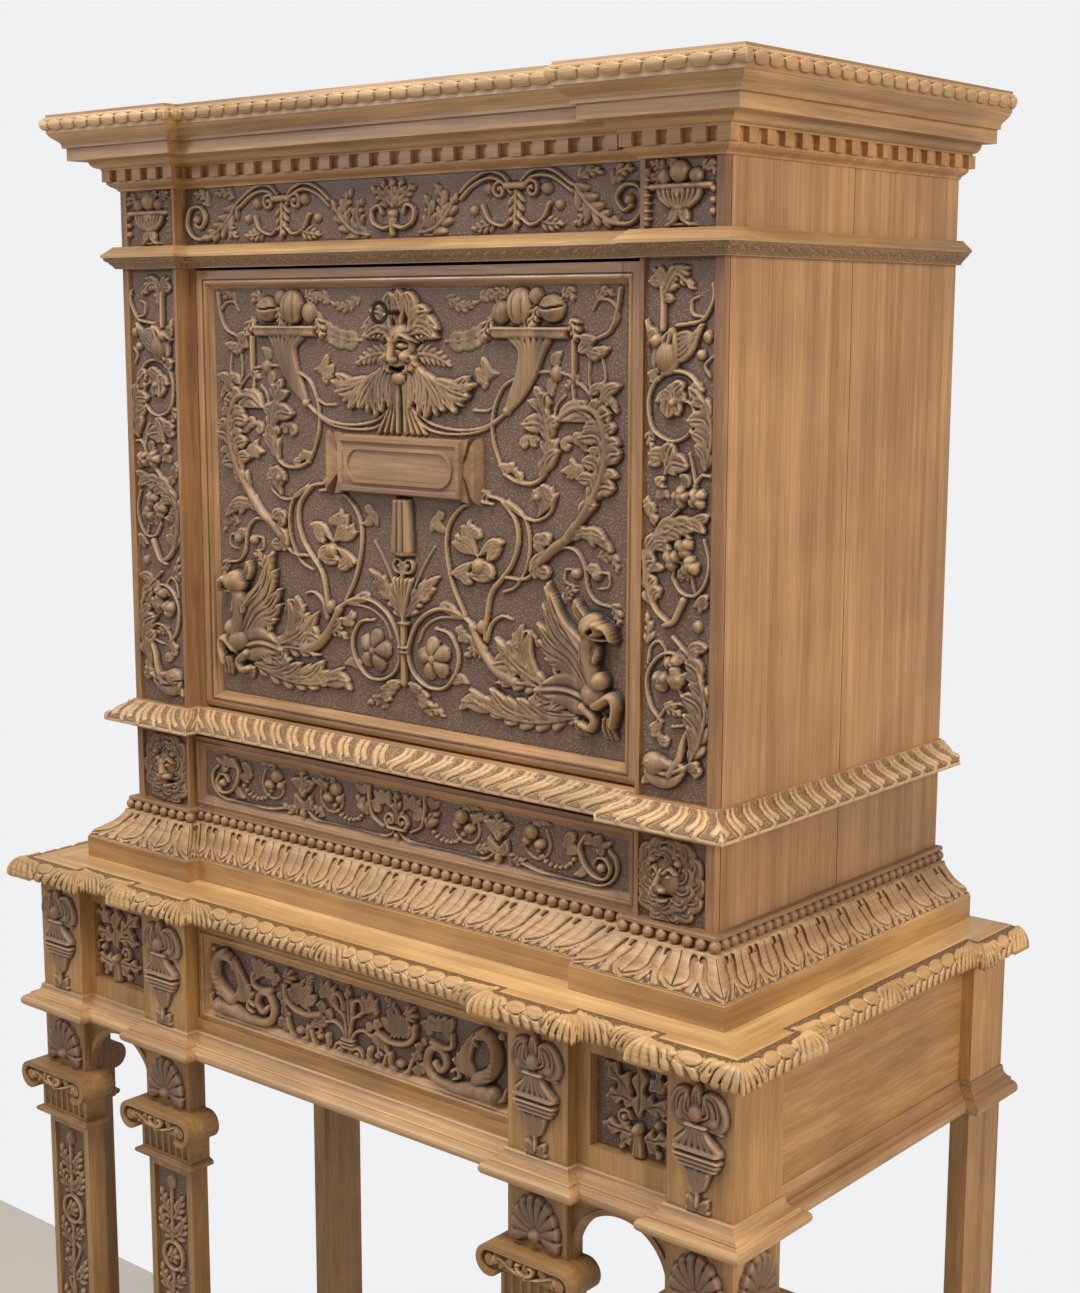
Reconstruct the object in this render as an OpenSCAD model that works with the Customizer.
// Carved walnut fall-front cabinet on a stand with pilaster legs.
// X is to the right, the front looks towards -Y, Z is up, and the floor is Z = 0.

/* [Cabinet] */
// Width of the cabinet over its side boards
case_w = 850; // [780:5:900]
// Distance from the cabinet's back to the rear edge of the stand's top
rear_gap = 5; // [0:1:20]
// Width of each pilaster and end block
pilaster_w = 95; // [85:1:105]
// Distance that the centre stands back from the end blocks
break_d = 17; // [12:1:18]
// Distance that the fall front stands back from the pilasters
fall_setback = 19; // [19:0.5:22]
// Width of the strip that shows between a pilaster and the fall front
reveal_w = 11; // [8:1:14]
// Thickness of the side boards
side_t = 18; // [14:1:22]
// Thickness of the facing that shows on the side of the cabinet
facing_t = 10; // [6:1:12]
// Thickness of the horizontal case boards
board_t = 18; // [14:1:22]
// Thickness of the back boards
back_t = 10; // [8:1:14]
// Thickness of the inner partitions and shelf
partition_t = 12; // [10:1:14]
// Width of the front plank of each side
side_front_w = 207; // [180:5:240]
// Open joint between two planks
plank_gap = 0.3; // [0.2:0.1:0.6]
// Shrinkage gap between the two boards of a side
shrink_gap = 1.2; // [0.5:0.1:2]

/* [Levels of the cabinet] */
// Height of the plinth
plinth_h = 25; // [18:1:32]
// Height of the leaf moulding over the plinth
base_h = 33; // [28:1:40]
// Height of the bead moulding
bead_h = 16; // [15:0.5:18]
// Height of the lower frieze with its drawer
lower_h = 87; // [78:1:96]
// Height of the middle moulding
mid_h = 33; // [28:1:38]
// Height of the opening of the fall front
fall_h = 508; // [460:2:540]
// Height of the neck moulding
neck_h = 25; // [22:1:30]
// Height of the top frieze
frieze_h = 63; // [56:1:72]

/* [Cabinet mouldings] */
// Projection of the plinth
plinth_out = 45; // [38:1:50]
// Projection of the bead row's fillet
bead_out = 9; // [8:0.5:11]
// Diameter of one bead
bead_dia = 11.8; // [10:0.1:12]
// Distance from bead to bead
bead_pitch = 14.8; // [13:0.1:18]
// Projection of the middle moulding
mid_out = 26; // [20:1:30]
// Projection of the neck moulding
neck_out = 18; // [14:1:22]
// Height of the bed moulding under the dentils
bed_h = 10.5; // [8:0.5:14]
// Projection of the bed moulding
bed_out = 10; // [8:0.5:11]
// Height of the dentils
dentil_h = 13; // [10:0.5:16]
// Width of one dentil
dentil_w = 14.5; // [11:0.5:17]
// Distance from dentil to dentil
dentil_pitch = 29; // [26:0.5:34]
// Projection of the dentils
dentil_out = 14.5; // [13:0.5:17]
// Depth of the gaps between the dentils
dentil_deep = 8; // [4:0.5:9]
// Height of the ovolo under the corona
ovolo_h = 10.5; // [8:0.5:14]
// Height of the corona
corona_h = 14; // [10:1:18]
// Projection of the corona
corona_out = 42; // [36:1:46]
// Height of the cyma over the corona
cyma_h = 16; // [12:1:20]
// Height of the carved top edge with its fillets
crown_h = 21; // [18:1:26]
// Projection of the carved top edge
crown_out = 61; // [56:1:68]

/* [Fall front] */
// Clearance on each side of the fall front
fall_gap = 1.2; // [0.8:0.1:2]
// Clearance over the fall front
fall_top_gap = 3; // [2:0.5:4]
// Clearance under the fall front
fall_low_gap = 1; // [0.8:0.1:2]
// Thickness of the fall front
fall_t = 24; // [22:1:28]
// Width of the moulded border
border_w = 21; // [18:1:26]
// Depth of the carved ground behind the border's face
ground_deep = 9; // [7:0.5:10]
// Distance of the pivot behind the fall's face
pivot_back = 7.7; // [7:0.1:9]
// Height of the pivot over the fall's lower edge
pivot_up = 7; // [6:0.5:8]
// Diameter of the pivot pins
pivot_dia = 5; // [4:0.5:6]
// Length of a pivot pin inside the cheek
pivot_in = 8; // [6:0.5:10]
// Running clearance of pins and spindles, on the radius
run_fit = 0.05; // [0.02:0.01:0.09]
// Width of the name plate in the middle of the fall
plate_w = 224; // [200:2:250]
// Height of the name plate
plate_h = 63; // [56:1:70]
// Width of the strap folded over each end of the name plate
strap_w = 17; // [12:1:22]
// Projection of the name plate over the ground
plate_out = 13; // [10:0.5:18]
// Height of the name plate's middle over the opening's floor
plate_z = 298; // [270:2:320]

/* [Lock and key] */
// Height of the keyhole over the opening's floor
key_z = 458; // [450:1:468]
// Width of the lock case
lock_w = 70; // [60:1:80]
// Thickness of the lock case
lock_t = 14; // [12:0.5:16]
// Height of the lock case below the key
lock_low = 18; // [16:1:24]
// Width of the lock bolt
bolt_w = 24; // [18:1:30]
// Thickness of the lock bolt
bolt_t = 7; // [5:0.5:8]
// Travel of the lock bolt
bolt_travel = 8; // [6:0.5:9]
// Diameter of the key's stem
stem_dia = 5; // [4:0.5:6]
// Distance that the key stands out of the ground
key_out = 48; // [42:1:56]
// Width of the key's bow
bow_w = 24; // [20:1:28]
// Thickness of the key's bow
bow_t = 3.2; // [2.5:0.1:4]

/* [Drawers] */
// Clearance round a drawer
drawer_gap = 1; // [0.6:0.1:2]
// Thickness of a drawer front
front_t = 20; // [18:1:24]
// Thickness of drawer sides and backs
drawer_side_t = 10; // [8:1:12]
// Thickness of drawer bottoms
drawer_low_t = 7; // [5:1:9]
// Distance that the lower drawer's border stands out of its rail
proud = 11; // [9:0.5:13]
// Width of the moulded border on the drawers
drawer_border_w = 15; // [12:1:18]
// Depth of the carved ground on the drawers
drawer_ground = 8; // [6:0.5:9]
// Room left behind the lower drawer
drawer_room = 33; // [10:1:80]
// Room left behind the stand's drawer
stand_drawer_room = 45; // [10:1:90]

/* [Stand] */
// Height of the stand with its top
stand_h = 920; // [860:5:960]
// Width of the stand's top
table_w = 1073; // [1060:1:1110]
// Depth of the stand's top
table_d = 540; // [535:1:560]
// Thickness of the stand's top
table_t = 22; // [18:1:26]
// Projection of the top's carved edge over the posts
edge_out = 25; // [20:1:28]
// Distance that the posts stand in front of the cabinet
post_out = 86; // [82:1:90]
// Height of the stand's frieze under the top
apron_h = 138; // [126:1:150]
// Height of the moulding under the stand's frieze
waist_h = 29; // [26:1:32]
// Projection of that moulding
waist_out = 21.5; // [18:0.5:23]
// Distance that the stand's panels stand back from its posts
panel_back = 14; // [10:1:16]
// Thickness of the stand's panels
panel_t = 14; // [12:1:16]
// Width of each corner post
corner_w = 75; // [68:1:82]
// Width of each inner post
inner_w = 76; // [68:1:82]
// Distance between the two front legs of a pair
pair_gap = 117.5; // [105:0.5:125]
// Depth of the corner post's side plank
corner_d = 79; // [70:1:88]
// Depth of the rear legs
rear_d = 70; // [60:1:80]
// Thickness of the legs' planks
leg_t = 24; // [20:1:26]
// Depth of the sunk panel in the legs and pilasters
sunk = 4; // [2:0.5:5]

/* [Capitals and arches] */
// Height of the capital with its neck
capital_h = 70; // [64:1:80]
// Distance from the moulding down to the capital
block_h = 68; // [60:1:76]
// Radius of a volute
volute_r = 16.5; // [15:0.5:18]
// Distance that a volute's outer side stands out of the post
volute_out = 23; // [20:0.5:26]
// Distance that a capital stands in front of its post
capital_out = 23; // [18:0.5:26]
// Height of the ring under the flutes
ring_h = 11; // [9:0.5:13]
// Projection of the ring, and of the neck over it, on each side of the post
ring_out = 12; // [9:0.5:14]
// Distance that the fluted neck stands out of the post on each side
neck_side = 5; // [3:0.5:7]
// Width of the band that rolls over the ends of a capital
roll_w = 6; // [4:0.5:8]
// Number of flutes on a capital's neck
flutes = 7; // [5:1:9]
// Thickness of an arch board
arch_t = 10; // [8:1:12]
// Distance that an arch board stands back from the posts
arch_back = 7; // [5:0.5:9]
// Height of the board over the crown of its arch
crown_web = 8; // [6:0.5:12]
// Width of the arch's foot on each capital
arch_foot = 3; // [2:0.5:5]
// Width of the raised rim along an arch
arch_rim = 6; // [4:0.5:6]

/* [Base] */
// Height of the bun feet
foot_h = 45; // [38:1:55]
// Diameter of the bun feet
foot_dia = 78; // [66:1:86]
// Thickness of the platform
platform_t = 32; // [26:1:38]
// Projection of the platform over the legs
platform_out = 20; // [16:1:24]
// Height of the block under each front leg
leg_base_h = 48; // [40:1:60]
// Projection of that block
leg_base_out = 7; // [5:0.5:9]

/* [Hidden] */
$fn = 48;
walnut = "#a67c4d";
dark = "#6b4e3a";
pale = "#c49a63";
brass = "#b08d4a";
steel = "#6f665c";

// Levels from the floor up
z_base = stand_h + plinth_h;
z_bead = z_base + base_h;
z_lower = z_bead + bead_h;
z_mid = z_lower + lower_h;
z_fall = z_mid + mid_h;
z_neck = z_fall + fall_h;
z_frieze = z_neck + neck_h;
z_cornice = z_frieze + frieze_h;
z_corona = z_cornice + bed_h + dentil_h;
cornice_h = bed_h + dentil_h + ovolo_h + corona_h + cyma_h + crown_h;
z_top = z_cornice + cornice_h;
z_apron = stand_h - table_t - apron_h;
z_waist = z_apron - waist_h;
z_cap = z_waist - block_h;
z_ring = z_cap - capital_h;
z_platform = foot_h + platform_t;

// Planes across the width and the depth
post_y = -table_d / 2 + edge_out;
rear_y = table_d / 2;
face_y = post_y + post_out;
back_y = rear_y - rear_gap;
fall_y = face_y + fall_setback;
half_w = case_w / 2;
block_x = half_w - pilaster_w;
open_x = block_x - reveal_w;
stop_y = fall_y + fall_t + plank_gap;
stop_w = 10;
room_x = open_x - stop_w;
inner_back = back_y - back_t;
post_x = table_w / 2 - edge_out;
corner_x = post_x - corner_w;
inner_out = corner_x - pair_gap;
inner_x = inner_out - inner_w;
panel_y = post_y + panel_back;
panel_x = post_x - panel_back;

// Fall front and its pivot
fall_w2 = open_x - fall_gap;
fall_z0 = z_fall + fall_low_gap;
fall_z1 = z_neck - fall_top_gap;
ground_y = fall_y + ground_deep;
pivot_y = fall_y + pivot_back;
pivot_z = fall_z0 + pivot_up;
lock_z = z_fall + key_z;
lock_y = fall_y + fall_t;
bolt_y = lock_y + lock_t / 2;
bit_r = 9;
bit_t = 3;
bit_y = lock_y + 3;

// Plan of the cabinet's face, from the rear left round to the rear right
case_path = [
  [-half_w, back_y], [-half_w, face_y], [-block_x, face_y], [-block_x, face_y + break_d],
  [block_x, face_y + break_d], [block_x, face_y], [half_w, face_y], [half_w, back_y]
];

// Plan of the stand's posts and panels, the right half from the middle to the rear
stand_half = [
  [inner_x, panel_y], [inner_x, post_y], [inner_out, post_y], [inner_out, panel_y],
  [corner_x, panel_y], [corner_x, post_y], [post_x, post_y], [post_x, post_y + corner_d],
  [panel_x, post_y + corner_d], [panel_x, rear_y - rear_d], [post_x, rear_y - rear_d],
  [post_x, rear_y]
];
function flip(path) = [for (i = [len(path) - 1 : -1 : 0]) [-path[i][0], path[i][1]]];
stand_path = concat(flip(stand_half), stand_half);

// Points of an arc about c, from angle a0 to a1
function arc(c, r, a0, a1, n = 6) =
  [for (i = [0 : n]) let (a = a0 + (a1 - a0) * i / n) [c[0] + r * cos(a), c[1] + r * sin(a)]];

// Points of an ogee from p to q, vertical at both ends
function ogee(p, q, n = 8) =
  [for (i = [0 : n]) let (t = i / n) [p[0] + (q[0] - p[0]) * (1 - cos(180 * t)) / 2,
                                     p[1] + (q[1] - p[1]) * t]];

// Side of a turn: 1 where the face turns an outer corner, -1 at an inner one, 0 at an end
function turn(path, i) =
  i == 0 || i == len(path) - 1 ? 0 :
  let (a = path[i] - path[i - 1], b = path[i + 1] - path[i])
  sign(a[0] * b[1] - a[1] * b[0]);

// One straight length of moulding, mitred at both ends. The profile's x points outwards
module length_of(a, b, sa, sb, reach, high) {
  d = b - a;
  run = norm(d);
  translate([a[0], a[1], 0])
    rotate([0, 0, atan2(d[1], d[0])])
      intersection() {
        translate([-reach, 0, 0])
          rotate([90, 0, 90])
            linear_extrude(run + 2 * reach)
              mirror([1, 0])
                children();
        translate([0, 0, -1])
          linear_extrude(high + 2)
            polygon([[sa, 1], [-sa * reach, -reach], [run + sb * reach, -reach], [run - sb, 1]]);
      }
}

// A profile carried along a plan path with mitred corners, on a thin strip that ties the runs
module moulding(path, reach, high) {
  tie = 1;
  linear_extrude(high)
    difference() {
      plan(path, tie);
      plan(path, 0);
    }
  for (i = [0 : len(path) - 2])
    length_of(path[i], path[i + 1], turn(path, i), turn(path, i + 1), reach, high)
      children();
}

// A plan path closed behind and grown by out on its face
module plan(path, out) {
  n = len(path);
  polygon([for (i = [0 : n - 1])
    let (
      a = i > 0 ? path[i] - path[i - 1] : [0, -1],
      b = i < n - 1 ? path[i + 1] - path[i] : [0, 1],
      ua = a / norm(a),
      ub = b / norm(b),
      na = i > 0 ? [ua[1], -ua[0]] : [0, 0],
      nb = i < n - 1 ? [ub[1], -ub[0]] : [0, 0])
    path[i] + out * (na + nb)]);
}

// A box from its two corners
module block(p, q) {
  translate(p)
    cube(q - p);
}

// Copies a piece to the left side
module left() {
  mirror([1, 0, 0])
    children();
}

// Upper case
module side_right() {
  color(walnut) {
    joint_y = face_y + facing_t + side_front_w;
    block([half_w - side_t, face_y + facing_t, stand_h], [half_w, joint_y, z_top - crown_h]);
    block([half_w - side_t, joint_y + shrink_gap, stand_h], [half_w, back_y, z_top - crown_h]);
  }
}

module side_left() {
  left() side_right();
}

module case_top() {
  lip_y = bolt_y + bolt_t / 2 + 8;
  slot_w = bolt_w / 2 + 1;
  color(walnut)
    block([-half_w + side_t, lip_y, z_neck], [half_w - side_t, inner_back, z_neck + board_t]);
  // Two lippings, with the keeper of the lock bolt between them
  for (s = [-1, 1])
    color(walnut)
      translate([s * (half_w - side_t + slot_w) / 2, (stop_y + lip_y) / 2, z_neck + board_t / 2])
        cube([half_w - side_t - slot_w, lip_y - stop_y - 2 * plank_gap, board_t], center = true);
  color(walnut)
    block([-block_x, face_y + break_d, z_neck], [block_x, stop_y, z_neck + board_t]);
}

module case_divider() {
  color(walnut)
    block([-room_x, stop_y, z_fall - board_t], [room_x, inner_back, z_fall]);
}

module case_bottom() {
  color(walnut) {
    block([-half_w + side_t, face_y + fall_setback, z_lower - board_t],
          [half_w - side_t, inner_back, z_lower]);
    block([-block_x, face_y + break_d, z_lower - board_t],
          [block_x, face_y + fall_setback, z_lower]);
  }
}

module case_back() {
  color(dark)
    block([-half_w + side_t, inner_back, stand_h], [half_w - side_t, back_y, z_top - crown_h]);
}

// Partition beside the compartment. Its front edge is the strip beside the fall
module cheek_right() {
  color(walnut)
    difference() {
      block([room_x, fall_y, z_lower], [open_x + partition_t, inner_back, z_neck]);
      block([room_x - 1, fall_y - 1, z_fall - 0.01], [open_x, stop_y, z_neck + 1]);
      block([room_x - 1, fall_y - 1, z_lower - 1], [open_x, stop_y, z_mid]);
      block([room_x - 1, fall_y - 1, z_mid - 1], [open_x, stop_y, z_fall]);
      translate([open_x - 1, pivot_y, pivot_z])
        rotate([0, 90, 0])
          cylinder(h = pivot_in + 1.5, r = pivot_dia / 2 + run_fit);
      // Room for the fall's lower rear edge as it turns
      intersection() {
        translate([room_x - 1, pivot_y, pivot_z])
          rotate([0, 90, 0])
            cylinder(h = stop_w + 1, r = norm([fall_t - pivot_back, pivot_up]) + 0.8);
        block([room_x - 1, stop_y - 1, z_fall], [open_x, stop_y + fall_t, z_neck]);
      }
    }
}

module cheek_left() {
  left() cheek_right();
}

shelf_z = z_fall + fall_h * 0.5;
shelf_y = stop_y + lock_t + 20;
module inner_shelf() {
  color(walnut)
    block([-room_x, shelf_y, shelf_z], [room_x, inner_back, shelf_z + partition_t]);
}

module inner_dividers() {
  color(walnut)
    for (x = [-room_x / 3, room_x / 3])
      block([x - partition_t / 2, shelf_y, shelf_z + partition_t],
            [x + partition_t / 2, inner_back, z_neck]);
}

module mid_rail() {
  color(walnut)
    difference() {
      block([-open_x, face_y + break_d, z_mid], [open_x, stop_y, z_fall]);
      drawer_bolt_hole();
    }
}

// Top frieze, cornice and neck
module frieze_panel() {
  color(dark)
    block([-block_x, face_y + break_d, z_neck + board_t],
          [block_x, face_y + break_d + partition_t, z_top - crown_h]);
}

// Facing board with a sunk field between two fillets, rebated over the side board
module facing(z0, z1, f0, f1) {
  inner_fillet = 5;
  outer_fillet = 10;
  groove = 1.2;
  difference() {
    union() {
      block([block_x, face_y, z0], [half_w, face_y + facing_t, z1]);
      block([block_x, face_y, z0], [half_w - side_t, fall_y, z1]);
    }
    block([block_x + inner_fillet, face_y - 1, f0], [half_w - outer_fillet, face_y + sunk, f1]);
    // Open joint between the facing and the side board
    block([half_w - groove, face_y + facing_t - shrink_gap, z0 - 1],
          [half_w + 1, face_y + facing_t + 1, z1 + 1]);
  }
}

module frieze_block_right() {
  color(dark)
    facing(z_frieze, z_top - crown_h, z_frieze, z_cornice);
}

module frieze_block_left() {
  left() frieze_block_right();
}

module pilaster_right() {
  color(dark)
    facing(z_mid, z_frieze, z_fall, z_neck);
}

module pilaster_left() {
  left() pilaster_right();
}

module lower_block_right() {
  color(dark)
    facing(stand_h, z_mid, z_lower, z_mid - 3);
}

module lower_block_left() {
  left() lower_block_right();
}

// Outline of the cornice over the dentils
module cornice_profile() {
  z1 = ovolo_h;
  z2 = z1 + corona_h;
  z3 = z2 + cyma_h;
  z4 = z3 + crown_h;
  fillet = 3;
  dip = 3;
  polygon(concat(
    [[0, 0], [dentil_out + 1, 0], [dentil_out + 1, 2]],
    [for (p = arc([dentil_out + 2, z1], z1 - 2, -90, 0)) p],
    [[corona_out, z1], [corona_out, z2], [corona_out + 4, z2], [corona_out + 4, z2 + fillet]],
    ogee([corona_out + 4, z2 + fillet], [crown_out - 4, z3]),
    [[crown_out - dip, z3], [crown_out - dip, z3 + 4]],
    [for (i = [1 : 7]) [crown_out - dip + dip * sin(i * 22.5), z3 + 4 + (crown_h - 8) * i / 8]],
    [[crown_out - dip, z4 - 4], [crown_out - dip, z4], [0, z4]]
  ));
}

module cornice() {
  color(walnut)
    translate([0, 0, z_corona])
      moulding(case_path, crown_out + 2, z_top - z_corona)
        cornice_profile();
}

module cornice_board() {
  color(walnut)
    translate([0, 0, z_top - crown_h])
      linear_extrude(crown_h - 6)
        plan(case_path, 0);
}

// Places dentils evenly along one length of the path, one at each end
module dentil_row(a, b, sa, sb) {
  d = b - a;
  step_in = dentil_out - dentil_w / 2;
  run = norm(d) + (sa + sb) * step_in;
  n = max(1, round(run / dentil_pitch));
  if (run > dentil_w)
    translate([a[0], a[1], 0])
      rotate([0, 0, atan2(d[1], d[0])])
        for (i = [0 : n])
          translate([-sa * step_in + run * i / n - dentil_w / 2, -dentil_out, bed_h])
            cube([dentil_w, dentil_out - dentil_deep + 0.5, dentil_h]);
}

module dentil_course() {
  color(walnut)
    translate([0, 0, z_cornice]) {
      moulding(case_path, dentil_out + 2, bed_h + dentil_h)
        polygon(concat(
          [[0, 0], [2, 0]],
          ogee([2, 1], [bed_out, bed_h - 3], 6),
          [[bed_out + 1, bed_h - 3], [bed_out + 1, bed_h], [dentil_deep, bed_h],
           [dentil_deep, bed_h + dentil_h], [0, bed_h + dentil_h]]
        ));
      dentil_row(case_path[0], case_path[1], 0, 1);
      dentil_row(case_path[1], case_path[2], 1, 1);
      dentil_row(case_path[3], case_path[4], -1, -1);
      dentil_row(case_path[5], case_path[6], 1, 1);
      dentil_row(case_path[6], case_path[7], 1, 0);
    }
}

module neck_moulding() {
  color(pale)
    translate([0, 0, z_neck])
      moulding(case_path, neck_out + 2, neck_h)
        polygon(concat(
          [[0, 0], [neck_out * 0.35, 0]],
          ogee([neck_out * 0.35, 1], [neck_out - 2, neck_h * 0.5], 6),
          [[neck_out, neck_h * 0.5], [neck_out, neck_h * 0.62], [neck_out * 0.4, neck_h], [0, neck_h]]
        ));
}

// Middle moulding: a cove and fillet below, and a leaf-carved cyma above
module mid_moulding() {
  low = mid_h * 0.24;
  color(pale)
    translate([0, 0, z_mid])
      moulding(case_path, mid_out + 2, mid_h)
        polygon(concat(
          [[0, 0], [mid_out * 0.2, 0], [mid_out * 0.2, low / 2], [mid_out * 0.4, low],
           [mid_out - 3, low]],
          arc([mid_out - 3, low + 3], 3, -90, 0, 3),
          ogee([mid_out, low + 3], [3, mid_h - 1]),
          [[3, mid_h], [0, mid_h]]
        ));
}

// A row of beads along each length of the path, seated in the cove under the fillet
module bead_row(a, b, sa, sb) {
  d = b - a;
  bead_o = bead_out - 2;
  run = norm(d) + (sa + sb) * bead_o - (sa == 0 || sb == 0 ? bead_dia / 2 : 0);
  start = sa == 0 ? bead_dia / 2 : -sa * bead_o;
  n = max(1, round(run / bead_pitch));
  translate([a[0], a[1], 0])
    rotate([0, 0, atan2(d[1], d[0])])
      for (i = [(sa == 0 ? 0 : 1) : n])
        translate([start + run * i / n, -bead_o, bead_dia / 2 + 0.4])
          sphere(d = bead_dia);
}

module bead_moulding() {
  cove = bead_out - 5;
  color(pale)
    translate([0, 0, z_bead]) {
      moulding(case_path, bead_out + 2, bead_h)
        polygon([[0, 0], [cove + 2, 0], [cove, 2], [cove, bead_dia - 2], [cove + 2, bead_dia],
                 [bead_out, bead_dia], [bead_out, bead_h - 1], [bead_out - 1, bead_h],
                 [0, bead_h]]);
      for (i = [0 : len(case_path) - 2])
        bead_row(case_path[i], case_path[i + 1], turn(case_path, i), turn(case_path, i + 1));
    }
}

// Flared base: bulges under the beads and sweeps out to the plinth
module base_moulding() {
  color(pale)
    translate([0, 0, z_base])
      moulding(case_path, plinth_out + 2, base_h)
        polygon(concat(
          [[0, 0], [plinth_out - 1, 0]],
          [[plinth_out - 1, 1.5]],
          [for (i = [0 : 12]) let (t = i / 12)
            [bead_out - 1 + (plinth_out - bead_out - 2) * pow(1 - t, 1.7), 3.5 + (base_h - 3.5) * t]],
          [[0, base_h]]
        ));
}

module plinth() {
  color(walnut)
    translate([0, 0, stand_h])
      moulding(case_path, plinth_out + 2, plinth_h)
        polygon([[0, 0], [plinth_out, 0], [plinth_out, plinth_h - 1], [plinth_out - 1, plinth_h],
                 [0, plinth_h]]);
}

// Fall front. A border profile runs round a rectangle, its x pointing to the middle
module border(x0, x1, z0, z1, y, high, reach) {
  path = [[x0, z0], [x0, z1], [x1, z1], [x1, z0], [x0, z0]];
  tie = 2;
  translate([0, y, 0])
    rotate([90, 0, 0]) {
      for (i = [0 : 3])
        length_of(path[i], path[i + 1], -1, -1, reach, high)
          children();
      linear_extrude(high - 3)
        difference() {
          translate([x0, z0])
            square([x1 - x0, z1 - z0]);
          translate([x0 + tie, z0 + tie])
            square([x1 - x0 - 2 * tie, z1 - z0 - 2 * tie]);
        }
    }
}

// Flat band, step, round and cove down to the carved ground
module border_profile(w, deep, high) {
  band = w * 0.45;
  r = w * 0.14;
  polygon(concat(
    [[0, 0], [0, high], [band, high], [band, high - r - 0.1]],
    arc([band + 0.8 + r, high - r - 0.1], r, 180, 0, 6),
    [[band + 0.8 + 2 * r, high - 4.2], [w, high - deep - 0.5], [w, 0]]
  ));
}

module fall_frame() {
  color(walnut)
    difference() {
      union() {
        border(-fall_w2, fall_w2, fall_z0, fall_z1, lock_y, fall_t, border_w)
          border_profile(border_w, ground_deep, fall_t);
      }
      // Rounded lower front edge, so that the fall can turn on its pivots
      difference() {
        block([-fall_w2 - 1, fall_y - 1, fall_z0 - 1], [fall_w2 + 1, pivot_y, pivot_z]);
        translate([-fall_w2 - 1, pivot_y, pivot_z])
          rotate([0, 90, 0])
            cylinder(h = 2 * fall_w2 + 2, r = pivot_up);
        block([-fall_w2 - 1, fall_y - 1, pivot_z - 0.01], [fall_w2 + 1, pivot_y + 1, pivot_z + 1]);
      }
      for (s = [-1, 1])
        translate([s * (fall_w2 - 7), pivot_y, pivot_z])
          rotate([0, 90, 0])
            cylinder(h = 16, r = pivot_dia / 2, center = true);
    }
}

module fall_panel() {
  color(dark)
    difference() {
      block([-fall_w2 + border_w, ground_y, fall_z0 + border_w],
            [fall_w2 - border_w, lock_y, fall_z1 - border_w]);
      translate([0, lock_y + 1, lock_z])
        rotate([90, 0, 0])
          cylinder(h = fall_t + 2, r = stem_dia / 2 + 0.6);
    }
}

// Block whose four sides slope inwards as they rise
module sloped_block(x, y, high, slope) {
  intersection() {
    rotate([90, 0, 0])
      linear_extrude(2 * y, center = true)
        polygon([[-x, 0], [x, 0], [x - slope, high], [slope - x, high]]);
    rotate([90, 0, 90])
      linear_extrude(2 * x, center = true)
        polygon([[-y, 0], [y, 0], [y - slope, high], [slope - y, high]]);
  }
}

// Tablet: a sloped rim round a bare field with a raised long ring, and a strap
// with pointed ends folded over each side
module name_plate() {
  z = z_fall + plate_z;
  w2 = plate_w / 2;
  h2 = plate_h / 2;
  body_w = w2 - strap_w - 4;
  rim = 7;
  color(walnut)
    translate([0, ground_y, z])
      rotate([90, 0, 0]) {
        difference() {
          sloped_block(body_w, h2, plate_out, 3);
          translate([0, 0, plate_out + 1])
            rotate([180, 0, 0])
              sloped_block(body_w - rim + 1, h2 - rim + 1, 4, 3);
        }
        translate([0, 0, plate_out - 3])
          linear_extrude(2.5)
            difference() {
              long_hole(body_w - 13, h2 - 12);
              long_hole(body_w - 16.5, h2 - 15.5);
            }
        for (s = [0, 1])
          mirror([s, 0, 0])
            strap(body_w, h2);
      }
}

// Folded strap at one end of the tablet, cut to a point at its top and bottom
module strap(x, h2) {
  over = 5;
  far = x + strap_w + 4;
  intersection() {
    linear_extrude(plate_out)
      polygon([[x - 1, -h2 + 26], [far, -h2 - over], [far, h2 + over], [x - 1, h2 - 26]]);
    rotate([90, 0, 0])
      linear_extrude(2 * (h2 + over + 1), center = true)
        polygon([[x - 1, 0], [far, 0], [far - 4, plate_out - 2], [far - 7, plate_out - 0.5],
                 [x + 3, plate_out - 6], [x - 1, plate_out - 6]]);
  }
  for (t = [0, 1])
    mirror([0, t, 0])
      linear_extrude(plate_out - 5)
        polygon([[x - 4, -h2 + 0.5], [x + 7, -h2 - 1.5], [x - 1, -h2 + 22], [x - 4, -h2 + 22]]);
}

module long_hole(x, r) {
  square([2 * (x - r), 2 * r], center = true);
  for (s = [-1, 1])
    translate([s * (x - r), 0])
      circle(r);
}

module pivot_pins() {
  color(brass)
    for (s = [-1, 1])
      translate([s * (open_x + pivot_in - 0.5), pivot_y, pivot_z])
        rotate([0, -90 * s, 0])
          cylinder(h = pivot_in + fall_gap + 14, r = pivot_dia / 2 - 0.01);
}

module fall_lock() {
  top = fall_z1 - 0.3;
  color(brass)
    difference() {
      block([-lock_w / 2, lock_y, lock_z - lock_low], [lock_w / 2, lock_y + lock_t, top]);
      block([-bolt_w / 2 - 0.4, bolt_y - bolt_t / 2 - 0.4, lock_z + bit_r + 0.5],
            [bolt_w / 2 + 0.4, bolt_y + bolt_t / 2 + 0.4, top + 1]);
      translate([0, lock_y + lock_t - 2, lock_z])
        rotate([90, 0, 0])
          cylinder(h = lock_t - 4, r = bit_r + 1);
      translate([0, lock_y + 3, lock_z])
        rotate([90, 0, 0])
          cylinder(h = 4, r = stem_dia / 2 + run_fit);
    }
}

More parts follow.
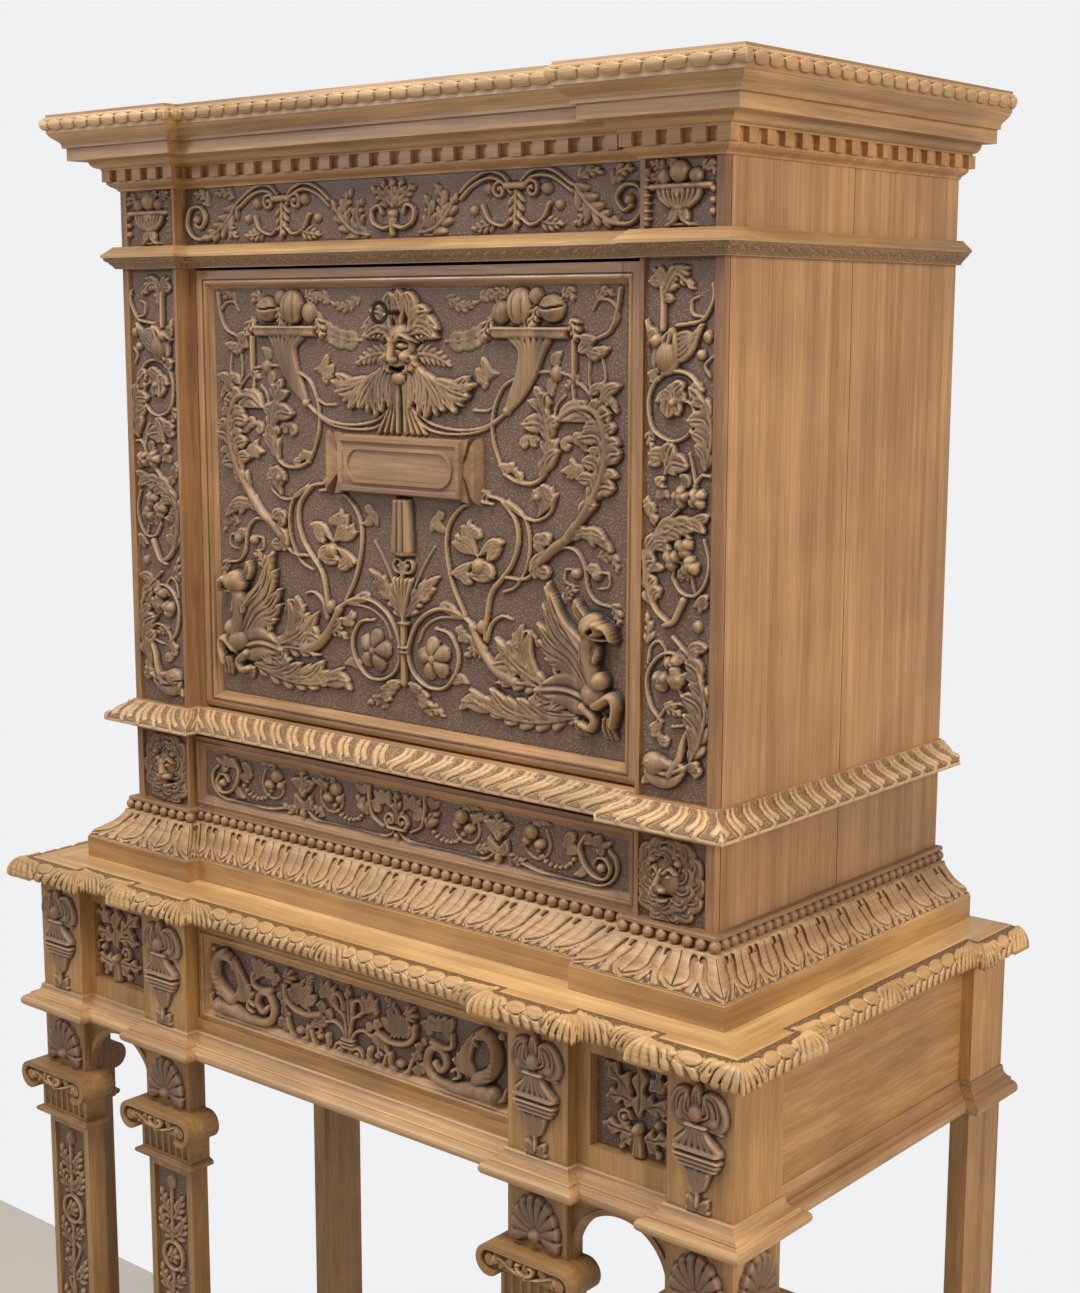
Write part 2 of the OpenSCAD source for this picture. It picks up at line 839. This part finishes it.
module lock_bolt() {
  top = fall_z1 - 0.5;
  color(steel)
    block([-bolt_w / 2, bolt_y - bolt_t / 2, lock_z + bit_r + 2],
          [bolt_w / 2, bolt_y + bolt_t / 2, top]);
}

// Key with a kidney-shaped bow, a collared stem and a bit
module key() {
  tip_y = lock_y + lock_t - 3;
  collar_y = ground_y - 8;
  bow_r = bow_w / 2;
  bow_y = ground_y - key_out + bow_r;
  color(steel) {
    translate([0, tip_y, lock_z])
      rotate([90, 0, 0])
        cylinder(h = tip_y - bow_y - bow_r + 3, d = stem_dia);
    translate([0, collar_y, lock_z])
      rotate([90, 0, 0])
        cylinder(h = 4, d = stem_dia + 3);
    block([-1.2, bit_y + 2, lock_z - bit_r], [1.2, bit_y + 2 + bit_t, lock_z]);
    translate([0, bow_y, lock_z])
      rotate([0, 90, 0])
        difference() {
          cylinder(h = bow_t, r = bow_r, center = true);
          cylinder(h = bow_t + 1, r = bow_r - 4, center = true);
        }
  }
}

// Lower drawer
drawer_top = z_mid - drawer_gap;
drawer_bottom = z_lower + 0.3;
drawer_front_y = face_y + break_d - proud;
drawer_back_y = drawer_front_y + front_t;
drawer_x = block_x - drawer_gap;
box_x = room_x - drawer_gap;

module drawer_front() {
  inset_x = open_x - drawer_gap;
  color(dark)
    difference() {
      union() {
        block([-drawer_x, drawer_front_y + drawer_ground, drawer_bottom],
              [drawer_x, fall_y - 0.3, drawer_top]);
        block([-inset_x, fall_y - 0.31, drawer_bottom], [inset_x, drawer_back_y, drawer_top]);
        border(-drawer_x, drawer_x, drawer_bottom, drawer_top, drawer_front_y + drawer_ground + 1,
               drawer_ground + 1, drawer_border_w)
          drawer_border_profile(drawer_ground + 1);
      }
      translate([0, drawer_back_y + 1, drawer_bottom + (drawer_top - drawer_bottom) * 0.62])
        rotate([90, 0, 0])
          cylinder(h = front_t + 4, r = 2.6);
    }
}

// Stepped border of a drawer front
module drawer_border_profile(high) {
  w = drawer_border_w;
  polygon(concat(
    [[0, 0], [0, high - 2], [w * 0.3, high - 2]],
    arc([w * 0.45, high - 2], w * 0.15, 180, 0, 5),
    [[w * 0.62, high - 3], [w, high * 0.2], [w, 0]]
  ));
}

// Three-sided box with a bottom let into it
module drawer_shell(x, y0, y1, z0, z1) {
  for (s = [-1, 1])
    translate([s * (x - drawer_side_t / 2) - drawer_side_t / 2, y0, z0])
      cube([drawer_side_t, y1 - y0, z1 - z0]);
  block([-x + drawer_side_t, y1 - drawer_side_t, z0], [x - drawer_side_t, y1, z1]);
  block([-x + drawer_side_t, y0, z0 + 3],
        [x - drawer_side_t, y1 - drawer_side_t, z0 + 3 + drawer_low_t]);
}

module drawer_box() {
  color(walnut)
    drawer_shell(box_x, drawer_back_y, inner_back - drawer_room, drawer_bottom, drawer_top - 4);
}

drawer_bolt_z = drawer_top - 1;
module drawer_lock() {
  color(brass)
    block([-lock_w / 2, drawer_back_y, drawer_top - 40], [lock_w / 2, drawer_back_y + 10, drawer_top]);
}

module drawer_bolt_hole() {
  block([-bolt_w / 2, drawer_back_y + 2, z_mid - 1], [bolt_w / 2, drawer_back_y + 9, z_mid + 7]);
}

// Stand
module table_top() {
  r = edge_out - 6;
  z0 = stand_h - table_t;
  color(pale) {
    translate([0, 0, z0])
      linear_extrude(table_t)
        plan(stand_path, 0);
    translate([0, 0, z0])
      moulding(stand_path, edge_out + 2, table_t)
        polygon(concat(
          [[0, 0], [edge_out - 5, 0], [edge_out - 1, 1.5]],
          [for (i = [0 : 6]) [edge_out - 19.5 * pow(i / 6, 2), 3 + (table_t - 3.5) * sin(i * 15)]],
          [[edge_out - 20, table_t], [0, table_t]]
        ));
  }
}

// Plank with a sunk long panel below the capital
module leg_plank(x0, x1, z0, z1) {
  rim = 9;
  difference() {
    block([x0, post_y, z0], [x1, post_y + leg_t, z1]);
    block([x0 + rim, post_y - 1, z_platform + leg_base_h + 12],
          [x1 - rim, post_y + sunk, z_ring - 10]);
  }
}

module corner_leg_right() {
  z1 = stand_h - table_t;
  side_plank = leg_t - 2;
  color(walnut) {
    leg_plank(corner_x, post_x, z_platform, z1);
    difference() {
      block([post_x - side_plank, post_y + leg_t, z_platform],
            [post_x, post_y + corner_d, z1]);
      block([post_x - sunk, post_y + leg_t - 6, z_platform + leg_base_h + 12],
            [post_x + 1, post_y + corner_d - 9, z_ring - 10]);
    }
  }
}

module corner_leg_left() {
  left() corner_leg_right();
}

module inner_leg_right() {
  color(walnut)
    leg_plank(inner_x, inner_out, z_platform, stand_h - table_t);
}

module inner_leg_left() {
  left() inner_leg_right();
}

module rear_leg_right() {
  color(walnut)
    block([post_x - leg_t + 2, rear_y - rear_d, z_platform],
          [post_x, rear_y, stand_h - table_t]);
}

module rear_leg_left() {
  left() rear_leg_right();
}

// Bolster capital: two volutes joined by a cushion, a fluted neck and a ring.
// The face is towards -Y, and the neck is w wide
module capital(w, d, left_volute = true) {
  x2 = w / 2;
  vx = x2 + volute_out - volute_r;
  nx = x2 + neck_side;
  neck = capital_h - 2 * volute_r - ring_h;
  deep = d + capital_out;
  zc = capital_h - volute_r;
  sides = left_volute ? [-1, 1] : [1];
  x_left = left_volute ? -vx : -x2;
  n_left = left_volute ? -nx : -x2;
  difference() {
    union() {
      for (s = sides)
        translate([s * vx, 0, zc])
          rotate([90, 0, 0])
            linear_extrude(deep)
              circle(volute_r);
      block([x_left, -deep, zc], [vx, 0, capital_h]);
      block([n_left, -d - neck_side, ring_h], [nx, 0, zc + 1]);
      ring_profile(x2, d, left_volute);
    }
    // Flutes of the neck
    flute_w = (nx - n_left - 6) / flutes;
    for (i = [0 : flutes - 1])
      translate([n_left + 3 + (i + 0.5) * flute_w, -d - neck_side - 0.6, ring_h + 2])
        cylinder(h = neck - 1, r = flute_w * 0.36);
    // Sunk face inside the band that rolls over both ends
    r_in = volute_r - roll_w;
    sunk_left = left_volute ? -vx : -x2;
    block([sunk_left, -deep - 1, zc - r_in], [vx, -deep + 8, zc + r_in]);
    for (s = sides)
      translate([s * vx, -deep + 8, zc])
        rotate([90, 0, 0])
          linear_extrude(9)
            circle(r_in);
    // The band ends under each roll, so the face is open between them
    block([sunk_left + (left_volute ? volute_r * 0.5 : 0), -deep - 1, zc - volute_r - 1],
          [vx - volute_r * 0.5, -d - neck_side, zc]);
  }
  // Eye of each roll, with the flower and its sprigs left to the carver
  for (s = sides)
    translate([s * vx, -deep + 9, zc])
      rotate([90, 0, 0])
        cylinder(h = 7, r = volute_r * 0.36);
}

// The ring under the neck: a round between two fillets, on three sides
module ring_profile(x2, d, left_too = true) {
  path = left_too ? [[-x2, 0], [-x2, -d], [x2, -d], [x2, 0]] : [[-x2, -d], [x2, -d], [x2, 0]];
  r = ring_h * 0.3;
  moulding(path, ring_out + 2, ring_h)
    polygon(concat([[0, 0], [ring_out * 0.35, 0], [ring_out * 0.5, 2]],
                   arc([ring_out - r, 2 + r], r, -80, 90, 6),
                   [[ring_out - r - 0.8, ring_h - 1.5], [ring_out * 0.45, ring_h - 1.5],
                    [ring_out * 0.42, ring_h], [0, ring_h]]));
}

module capital_inner_right() {
  color(walnut)
    difference() {
      translate([inner_x + inner_w / 2, post_y + leg_t, z_ring])
        capital(inner_w, leg_t);
      inner_leg_core();
    }
}

module inner_leg_core() {
  block([inner_x, post_y, z_ring - 1], [inner_out, post_y + leg_t + 1, z_cap + 1]);
}

module capital_inner_left() {
  left() capital_inner_right();
}

// The corner capital is made of a front piece and a side piece
module capital_corner_right() {
  side_plank = leg_t - 2;
  color(walnut) {
    difference() {
      translate([corner_x + corner_w / 2, post_y + leg_t, z_ring])
        capital(corner_w, leg_t);
      block([corner_x, post_y, z_ring - 1], [post_x, post_y + leg_t + 1, z_cap + 1]);
    }
    difference() {
      translate([post_x - side_plank, post_y + corner_d / 2, z_ring])
        rotate([0, 0, 90])
          capital(corner_d, side_plank, false);
      block([post_x - side_plank - 1, post_y + leg_t, z_ring - 1],
            [post_x, post_y + corner_d, z_cap + 1]);
      block([post_x - side_plank - 1, post_y - leg_t, z_ring - 1],
            [post_x + leg_t, post_y + leg_t + plank_gap, z_cap + 1]);
    }
  }
}

module capital_corner_left() {
  left() capital_corner_right();
}

// Round-headed boards between the legs of each pair
module arch_right() {
  r = (corner_x - inner_out) / 2 - arch_foot;
  difference() {
    block([inner_out, post_y + arch_back, z_cap],
          [corner_x, post_y + arch_back + arch_t, z_waist + waist_h]);
    translate([(inner_out + corner_x) / 2, post_y - 1, z_waist - crown_web - r])
      rotate([-90, 0, 0])
        cylinder(h = leg_t + 2, r = r);
    block([inner_out + arch_foot, post_y - 1, z_cap - 1],
          [corner_x - arch_foot, post_y + leg_t, z_waist - crown_web - r]);
    block([inner_out - 1, post_y - 1, z_waist], [corner_x + 1, panel_y, z_apron + 1]);
    // Sunk corners outside the raised rim of the arch
    difference() {
      block([inner_out - 1, post_y - 1, z_cap + arch_rim],
            [corner_x + 1, post_y + arch_back + 2.5, z_waist + 1]);
      translate([(inner_out + corner_x) / 2, post_y - 2, z_waist - crown_web - r])
        rotate([-90, 0, 0])
          cylinder(h = leg_t + 2, r = r + arch_rim);
      block([inner_out + arch_foot - arch_rim, post_y - 2, z_cap - 1],
            [corner_x - arch_foot + arch_rim, post_y + leg_t, z_waist - crown_web - r]);
    }
  }
}

module arches() {
  color(walnut) {
    arch_right();
    left() arch_right();
  }
}

// Moulded frame with a sunk carved field between the posts of each pair
module leaf_panel_right() {
  rim = 16;
  z1 = stand_h - table_t;
  difference() {
    block([inner_out, panel_y, z_apron], [corner_x, panel_y + panel_t, z1]);
    block([inner_out + rim, panel_y - 1, z_apron + rim + 6], [corner_x - rim / 2, panel_y + 9, z1 - rim - 6]);
  }
}

module leaf_panels() {
  color(dark) {
    leaf_panel_right();
    left() leaf_panel_right();
  }
}

rail_h = 13;
module stand_rails() {
  color(walnut) {
    block([-inner_x, panel_y, stand_h - table_t - rail_h],
          [inner_x, post_y + leg_t + 10, stand_h - table_t]);
    block([-inner_x, panel_y, z_waist], [inner_x, post_y + leg_t + 10, z_apron + rail_h]);
  }
}

module stand_side_right() {
  color(walnut)
    block([panel_x - panel_t, post_y + corner_d, z_waist],
          [panel_x, rear_y - rear_d, stand_h - table_t]);
}

module stand_side_left() {
  left() stand_side_right();
}

module stand_back() {
  color(dark)
    block([-post_x + leg_t - 2, rear_y - panel_t, z_waist],
          [post_x - leg_t + 2, rear_y, stand_h - table_t]);
}

// Fillet, cove and half round under the stand's frieze
module stand_moulding() {
  round_r = waist_h * 0.25;
  lip = waist_out - round_r + 1;
  color(pale)
    translate([0, 0, z_waist])
      moulding(stand_path, waist_out + 2, waist_h)
        polygon(concat(
          [[0, 0], [waist_out - round_r - 2, 0]],
          arc([waist_out - round_r, round_r], round_r, -90, 90, 8),
          [[lip - 2, 2 * round_r + 0.8], [lip - 2, 2 * round_r + 2]],
          [for (i = [0 : 6]) [3 + (lip - 6) * (1 - sin(i * 15)),
                              2 * round_r + 3.5 + (waist_h - 2 * round_r - 6) * (1 - cos(i * 15))]],
          [[3, waist_h - 1.5], [2, waist_h], [0, waist_h]]
        ));
}

runner_z = z_apron + rail_h;
runner_h = 12;
box2_x = inner_x - drawer_gap - 1;
module stand_runners() {
  color(walnut)
    for (s = [-1, 1])
      translate([s * (inner_x - 12) - 12, post_y + leg_t + 10, runner_z - runner_h])
        cube([24, rear_y - panel_t - post_y - leg_t - 10, runner_h]);
}

drawer2_z0 = runner_z + 0.3;
drawer2_z1 = stand_h - table_t - rail_h - 2.5;
drawer2_y = panel_y + 2;
module stand_drawer_front() {
  color(dark) {
    block([-box2_x, drawer2_y + drawer_ground, drawer2_z0],
          [box2_x, drawer2_y + front_t, drawer2_z1]);
    border(-box2_x, box2_x, drawer2_z0, drawer2_z1, drawer2_y + drawer_ground + 1,
           drawer_ground + 1, drawer_border_w)
      drawer_border_profile(drawer_ground + 1);
  }
}

module stand_drawer_box() {
  color(walnut)
    drawer_shell(box2_x - 2, drawer2_y + front_t, rear_y - panel_t - stand_drawer_room,
                 drawer2_z0, drawer2_z1 - 4);
}

// Moulded block at the foot of each front leg
module leg_base(x0, x1, y0, y1) {
  moulding([[x0, y0], [x0, post_y], [x1, post_y], [x1, y1]], leg_base_out + 2, leg_base_h)
    polygon(concat(
      [[0, 0], [leg_base_out, 0], [leg_base_out, leg_base_h * 0.5], [leg_base_out - 2, leg_base_h * 0.5]],
      arc([leg_base_out - 4, leg_base_h * 0.64], leg_base_h * 0.12, -60, 90, 6),
      [[2, leg_base_h * 0.78], [1.5, leg_base_h], [0, leg_base_h]]
    ));
}

module leg_bases() {
  color(walnut)
    translate([0, 0, z_platform])
      for (m = [0, 1])
        mirror([m, 0, 0]) {
          leg_base(inner_x, inner_out, post_y + leg_t, post_y + leg_t);
          leg_base(corner_x, post_x, post_y + leg_t, post_y + corner_d);
        }
}

// Platform that ties the legs, with an eased upper edge
module platform() {
  ease = 8;
  color(walnut) {
    translate([0, 0, foot_h])
      linear_extrude(platform_t)
        plan(stand_path, 0);
    translate([0, 0, foot_h])
      moulding(stand_path, platform_out + 2, platform_t)
        polygon(concat(
          [[0, 0], [platform_out - 2, 0], [platform_out - 2, 3], [platform_out, 5]],
          arc([platform_out - ease, platform_t - ease], ease, 0, 90, 6),
          [[0, platform_t]]
        ));
  }
}

// Flattened turned feet with a neck let into the platform
module foot() {
  r = foot_dia / 2;
  mid = foot_h * 0.45;
  rotate_extrude()
    polygon(concat(
      [[0, 0], [r * 0.62, 0]],
      [for (i = [0 : 10]) let (a = -58 + i * 11.6) [r * 0.3 + r * 0.7 * cos(a), mid + mid * 0.95 * sin(a) / sin(58)]],
      [[r * 0.5, foot_h * 0.9], [r * 0.5, foot_h], [0, foot_h]]
    ));
}

module feet() {
  inset = foot_dia / 2;
  color(dark)
    for (x = [-post_x + inset, post_x - inset])
      for (y = [post_y + inset, rear_y - inset])
        translate([x, y, 0])
          foot();
}

side_left();
side_right();
case_top();
case_divider();
case_bottom();
case_back();
cheek_left();
cheek_right();
inner_shelf();
inner_dividers();
mid_rail();
frieze_panel();
frieze_block_left();
frieze_block_right();
cornice();
cornice_board();
dentil_course();
neck_moulding();
pilaster_left();
pilaster_right();
mid_moulding();
lower_block_left();
lower_block_right();
bead_moulding();
base_moulding();
plinth();
fall_frame();
fall_panel();
name_plate();
pivot_pins();
fall_lock();
lock_bolt();
key();
drawer_front();
drawer_box();
drawer_lock();
table_top();
corner_leg_left();
corner_leg_right();
inner_leg_left();
inner_leg_right();
rear_leg_left();
rear_leg_right();
capital_corner_left();
capital_corner_right();
capital_inner_left();
capital_inner_right();
arches();
leaf_panels();
stand_rails();
stand_side_left();
stand_side_right();
stand_back();
stand_moulding();
stand_runners();
stand_drawer_front();
stand_drawer_box();
leg_bases();
platform();
feet();
